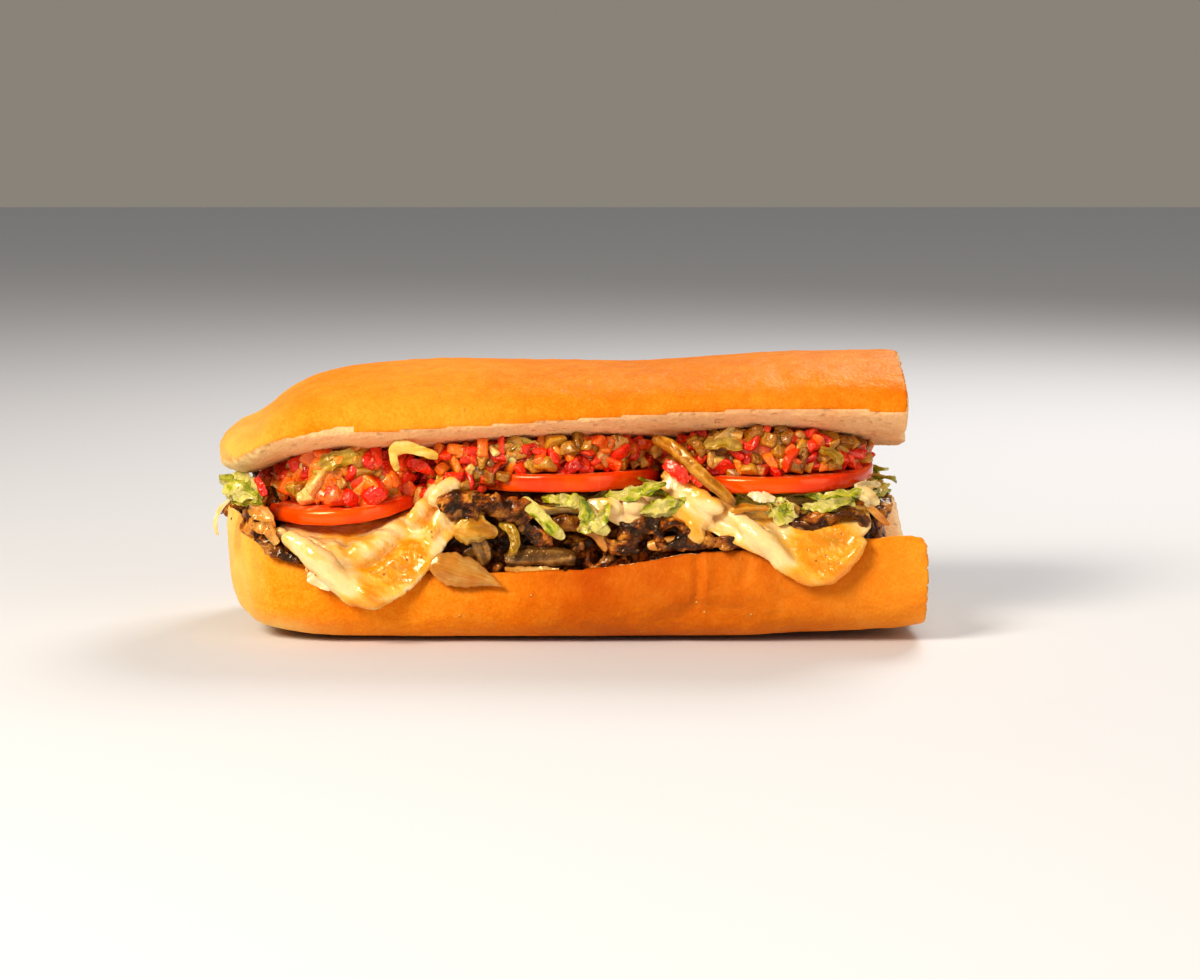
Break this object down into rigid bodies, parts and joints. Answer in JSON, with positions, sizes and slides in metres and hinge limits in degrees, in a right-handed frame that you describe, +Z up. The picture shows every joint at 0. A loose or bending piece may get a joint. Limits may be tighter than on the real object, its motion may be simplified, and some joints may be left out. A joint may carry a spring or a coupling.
{
  "type": "submarine sandwich",
  "caption": "Length of a soft submarine roll with a round baked end and a square cut end, split lengthways and filled with shredded steak, melted cheese, tomato and pepper relish.",
  "frame": {"origin": "centre of the overall box, at the level of the lower roll's flat base", "axes": "+X along the roll from its round end to its cut end, +Z up; the open side of the filling faces -Y"},
  "size_m": [0.2028, 0.088, 0.079],
  "materials": {
    "crust": "baked golden crust, satin",
    "steak": "moist cooked beef",
    "cheese": "melted, glossy",
    "lettuce": "crisp leaf, slight sheen",
    "tomato": "wet skin and flesh",
    "relish": "wet chopped pepper",
    "onion": "cooked, translucent and glossy",
    "mushroom": "cooked, oily",
    "pepper": "cooked or pickled, glossy"
  },
  "bodies": {
    "root": {"lower_roll": "crust", "upper_roll": "crust", "steak_heap": "steak", "melted_cheese": "cheese", "lettuce_bed": "lettuce", "tomato_left": "tomato", "tomato_middle": "tomato", "tomato_right": "tomato", "pepper_relish": "relish", "onion_petal_front": "onion", "onion_slice_amber": "onion", "onion_strip_right": "onion", "onion_strip_middle": "onion", "onion_piece_left": "onion", "onion_petal_back": "onion", "mushroom_slice_left": "mushroom", "mushroom_slice_long": "mushroom", "mushroom_slice_curled": "mushroom", "mushroom_slice_right": "mushroom", "mushroom_slice_low": "mushroom", "mushroom_slice_back": "mushroom", "pepper_curl_left": "pepper", "pepper_curl_top": "pepper", "pepper_strip_long": "pepper", "pepper_piece_green": "pepper", "pepper_strip_back": "pepper", "lettuce_shred_slanting": "lettuce", "lettuce_shred_middle": "lettuce", "lettuce_leaf_centre": "lettuce", "lettuce_leaf_right": "lettuce", "lettuce_leaf_end": "lettuce"}
  },
  "joints": []
}
